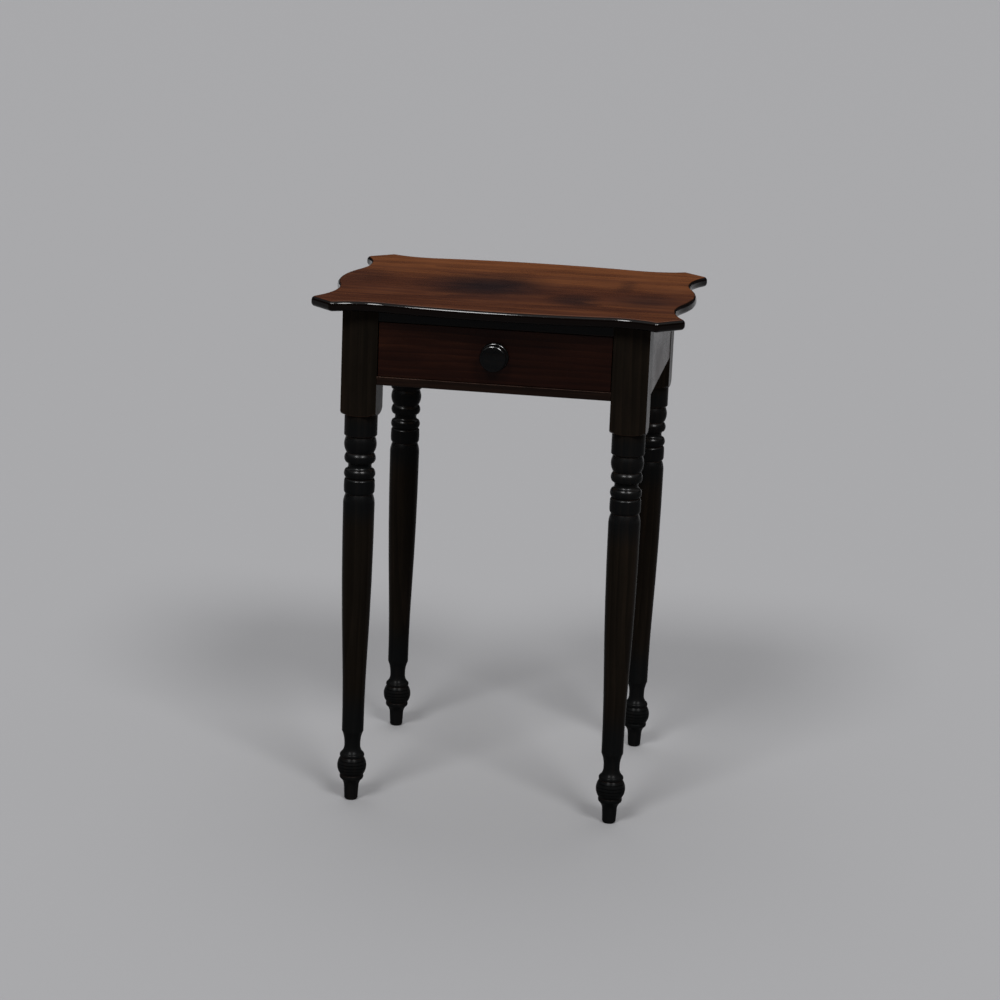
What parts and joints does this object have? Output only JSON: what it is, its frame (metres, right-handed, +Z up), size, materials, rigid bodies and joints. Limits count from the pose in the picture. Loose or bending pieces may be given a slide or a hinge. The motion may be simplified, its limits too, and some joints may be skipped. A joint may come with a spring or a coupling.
{
  "type": "one-drawer stand",
  "caption": "Small wooden side table with a thin shaped top, canted corners, slender turned legs and a flush front drawer with a turned knob.",
  "frame": {"origin": "on the floor, under the middle of the top", "axes": "+Z up, +X to the right of someone facing the drawer, and the drawer front faces -Y"},
  "size_m": [0.4944, 0.4366, 0.704],
  "materials": {
    "top_wood": "old varnish, half gloss, with dark stains",
    "case_wood": "dark stain under old varnish",
    "turned_wood": "nearly black stain, soft gloss",
    "inside_wood": "bare aged softwood",
    "iron": "dark iron"
  },
  "bodies": {
    "frame": {"top": "top_wood", "front_left_leg": "turned_wood", "front_right_leg": "turned_wood", "rear_left_leg": "turned_wood", "rear_right_leg": "turned_wood", "left_apron": "case_wood", "right_apron": "case_wood", "back_apron": "case_wood", "upper_rail": "case_wood", "drawer_blade": "case_wood", "left_runner": "inside_wood", "right_runner": "inside_wood", "left_guide": "inside_wood", "right_guide": "inside_wood", "left_kicker": "inside_wood", "right_kicker": "inside_wood", "drawer_stops": "inside_wood", "glue_blocks": "inside_wood", "top_screws": "iron"},
    "drawer": {"drawer_front": "case_wood", "drawer_left_side": "inside_wood", "drawer_right_side": "inside_wood", "drawer_back": "inside_wood", "drawer_bottom": "inside_wood", "drawer_nails": "iron", "knob": "turned_wood"}
  },
  "joints": [
    {"name": "drawer_slide", "type": "slide", "parent": "frame", "child": "drawer", "axis": [0, -1, 0], "range_m": [0, 0.26]}
  ]
}
